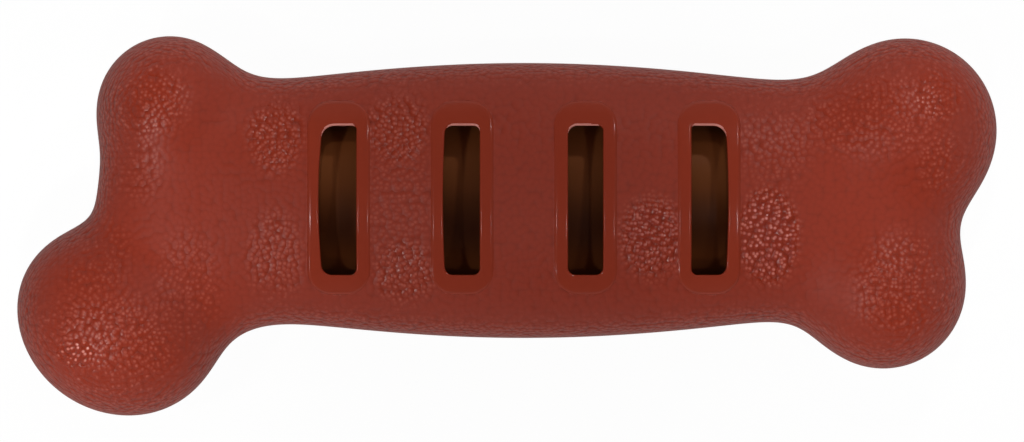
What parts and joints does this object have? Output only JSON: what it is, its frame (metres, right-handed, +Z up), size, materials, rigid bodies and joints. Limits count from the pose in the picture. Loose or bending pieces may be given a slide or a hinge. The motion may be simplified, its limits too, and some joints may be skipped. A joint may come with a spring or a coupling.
{
  "type": "chew toy",
  "caption": "Bone-shaped rubber chew toy: a pebbled rubber skin with framed slots in both faces, closed round a hard captive core.",
  "frame": {"origin": "centre of the bone's outline, on the surface that its knuckles lie on", "axes": "+X along the bone towards its right knuckles, +Y across it to its rear edge, +Z up out of the upper face"},
  "size_m": [0.1798, 0.0698, 0.0399],
  "materials": {
    "rubber": "pebbled brick-red rubber, smooth on the slot frames",
    "core": "smooth dark brown nylon"
  },
  "bodies": {
    "root": {"inner_core": "core", "lower_shell": "rubber", "upper_shell": "rubber"}
  },
  "joints": []
}
